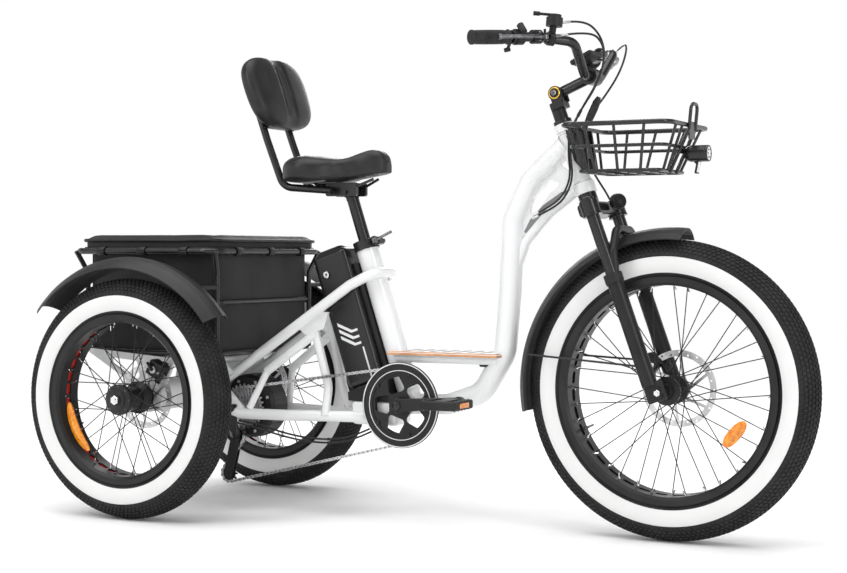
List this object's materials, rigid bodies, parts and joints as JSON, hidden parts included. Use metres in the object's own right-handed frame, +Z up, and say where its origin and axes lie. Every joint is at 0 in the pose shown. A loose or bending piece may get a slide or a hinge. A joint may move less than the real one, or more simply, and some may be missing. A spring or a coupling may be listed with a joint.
{
  "type": "adult tricycle",
  "caption": "Electric tricycle with fat white-walled tyres, step-through frame, sprung fork, saddle with backrest, front basket and rear cargo box.",
  "frame": {"origin": "on the ground, under the middle of the tricycle's overall length and width", "axes": "+X is the direction of travel, +Y the rider's left, +Z up"},
  "size_m": [1.9359, 0.794, 1.2088],
  "materials": {
    "white_paint": "gloss",
    "black_metal": "satin",
    "black_gloss": "gloss",
    "black_plastic": "matte",
    "bright_steel": "brushed",
    "tyre_rubber": "matte, with white side walls",
    "grip_rubber": "matte",
    "saddle_leather": "grained",
    "bag_fabric": "coated",
    "cable_rubber": "satin"
  },
  "bodies": {
    "frame": {"front_frame": "white_paint", "rear_stays": "white_paint", "axle_frame": "white_paint", "step_plate": "white_paint", "rear_fenders": "black_metal", "cargo_frame": "black_metal", "cargo_bag": "bag_fabric", "front_basket": "black_metal", "headlight": "black_gloss", "battery_cradle": "black_plastic", "chain": "bright_steel", "axle_chain": "bright_steel", "derailleur": "black_metal", "rear_calipers": "black_metal", "seat_clamp": "black_metal", "chainstay_cables": "cable_rubber", "control_cables": "cable_rubber"},
    "fork_upper": {"fork_crown": "black_metal", "stem_base": "black_metal"},
    "cockpit": {"stem_arm": "black_metal", "handlebar": "black_metal", "grips": "grip_rubber", "display": "black_plastic", "brake_perches": "black_metal", "shifter": "black_plastic", "throttle": "black_plastic"},
    "left_brake_lever": {"brake_lever_left": "bright_steel"},
    "right_brake_lever": {"brake_lever_right": "bright_steel"},
    "gear_lever": {"shift_lever": "bright_steel"},
    "thumb_throttle": {"throttle_lever": "black_plastic"},
    "fork_lower": {"fork_lowers": "black_metal", "front_fender": "black_metal", "front_caliper": "black_metal"},
    "front_wheel": {"front_tyre": "tyre_rubber", "front_rim": "black_metal", "front_hub": "black_metal", "front_disc": "bright_steel"},
    "rear_wheel_left": {"rear_tyre_left": "tyre_rubber", "rear_rim_left": "black_metal", "rear_hub_left": "black_metal", "rear_disc_left": "bright_steel"},
    "rear_wheel_right": {"rear_tyre_right": "tyre_rubber", "rear_rim_right": "black_metal", "rear_hub_right": "black_metal", "rear_disc_right": "bright_steel"},
    "crankset": {"chainring": "black_metal", "crank_right": "black_metal", "crank_left": "black_metal"},
    "right_pedal": {"pedal_right": "black_plastic"},
    "left_pedal": {"pedal_left": "black_plastic"},
    "gear_cluster": {"cassette": "bright_steel"},
    "motor": {"motor_drum": "black_metal"},
    "axle_drive": {"axle_sprocket": "bright_steel"},
    "battery_pack": {"battery": "black_gloss"},
    "post": {"seat_post": "black_metal"},
    "seat": {"saddle": "saddle_leather", "saddle_frame": "black_metal", "backrest_pad": "saddle_leather"},
    "clamp_lever": {"seat_lever": "bright_steel"},
    "lid": {"bag_lid": "bag_fabric"}
  },
  "joints": [
    {"name": "steering", "type": "hinge", "parent": "frame", "child": "fork_upper", "pos_m": [0.411, 0, 0.801], "axis": [-0.342, 0, 0.9397], "range_deg": [-45, 45], "deforming": ["control_cables"]},
    {"name": "stem_angle", "type": "hinge", "parent": "fork_upper", "child": "cockpit", "pos_m": [0.33711, 0, 1.03909], "axis": [0, -1, 0], "range_deg": [-12, 35], "deforming": ["control_cables"]},
    {"name": "left_brake_pull", "type": "hinge", "parent": "cockpit", "child": "left_brake_lever", "pos_m": [0.39349, 0.20864, 1.14586], "axis": [-0.0386, 0.0659, 0.9971], "range_deg": [0, 11], "stiffness_Nm_per_rad": 1.5, "springref_deg": -5.73},
    {"name": "right_brake_pull", "type": "hinge", "parent": "cockpit", "child": "right_brake_lever", "pos_m": [0.39349, -0.20864, 1.14586], "axis": [0.0386, 0.0659, -0.9971], "range_deg": [0, 11], "stiffness_Nm_per_rad": 1.5, "springref_deg": -5.73},
    {"name": "gear_shift", "type": "hinge", "parent": "cockpit", "child": "gear_lever", "pos_m": [0.40144, -0.17294, 1.19588], "axis": [0.0613, 0.0623, 0.9962], "range_deg": [-30, 15]},
    {"name": "throttle_push", "type": "hinge", "parent": "cockpit", "child": "thumb_throttle", "pos_m": [0.33125, -0.24765, 1.14488], "axis": [-0.5038, -0.8604, -0.0764], "range_deg": [0, 25], "stiffness_Nm_per_rad": 0.4, "springref_deg": -5.73},
    {"name": "fork_travel", "type": "slide", "parent": "fork_upper", "child": "fork_lower", "axis": [-0.342, 0, 0.9397], "range_m": [0, 0.04], "stiffness_N_per_m": 9000, "springref_m": -0.04, "deforming": ["control_cables"]},
    {"name": "front_wheel_roll", "type": "hinge", "parent": "fork_lower", "child": "front_wheel", "pos_m": [0.621, 0, 0.347], "axis": [0, 1, 0], "continuous": true},
    {"name": "rear_wheel_left_roll", "type": "hinge", "parent": "frame", "child": "rear_wheel_left", "pos_m": [-0.67, 0.338, 0.298], "axis": [0, 1, 0], "continuous": true},
    {"name": "rear_wheel_right_roll", "type": "hinge", "parent": "frame", "child": "rear_wheel_right", "pos_m": [-0.67, -0.338, 0.298], "axis": [0, 1, 0], "continuous": true},
    {"name": "crank_turn", "type": "hinge", "parent": "frame", "child": "crankset", "pos_m": [-0.053, 0, 0.287], "axis": [0, 1, 0], "continuous": true},
    {"name": "right_pedal_turn", "type": "hinge", "parent": "crankset", "child": "right_pedal", "pos_m": [0.11625, -0.148, 0.303], "axis": [0, 1, 0], "continuous": true},
    {"name": "left_pedal_turn", "type": "hinge", "parent": "crankset", "child": "left_pedal", "pos_m": [-0.22225, 0.148, 0.271], "axis": [0, 1, 0], "continuous": true},
    {"name": "gear_cluster_turn", "type": "hinge", "parent": "frame", "child": "gear_cluster", "pos_m": [-0.52, 0, 0.262], "axis": [0, 1, 0], "continuous": true},
    {"name": "motor_turn", "type": "hinge", "parent": "frame", "child": "motor", "pos_m": [-0.52, 0, 0.262], "axis": [0, 1, 0], "continuous": true},
    {"name": "axle_drive_turn", "type": "hinge", "parent": "frame", "child": "axle_drive", "pos_m": [-0.67, 0, 0.298], "axis": [0, 1, 0], "continuous": true},
    {"name": "battery_slide", "type": "slide", "parent": "frame", "child": "battery_pack", "axis": [-0.319, 0, 0.9478], "range_m": [0, 0.1]},
    {"name": "seat_height", "type": "slide", "parent": "frame", "child": "post", "axis": [-0.319, 0, 0.9478], "range_m": [-0.05, 0.06]},
    {"name": "saddle_tilt", "type": "hinge", "parent": "post", "child": "seat", "pos_m": [-0.23034, 0, 0.81396], "axis": [0, 1, 0], "range_deg": [-8, 8]},
    {"name": "seat_clamp_lever", "type": "hinge", "parent": "frame", "child": "clamp_lever", "pos_m": [-0.14809, -0.024, 0.69182], "axis": [0.319, 0, -0.9478], "range_deg": [0, 100]},
    {"name": "lid_hinge", "type": "hinge", "parent": "frame", "child": "lid", "pos_m": [-0.899, 0, 0.676], "axis": [0, -1, 0], "range_deg": [0, 95]}
  ],
  "couplings": [
    {"joint": "gear_cluster_turn", "follows": "crank_turn", "ratio": 1.9167},
    {"joint": "axle_drive_turn", "follows": "motor_turn", "ratio": 0.72727}
  ]
}
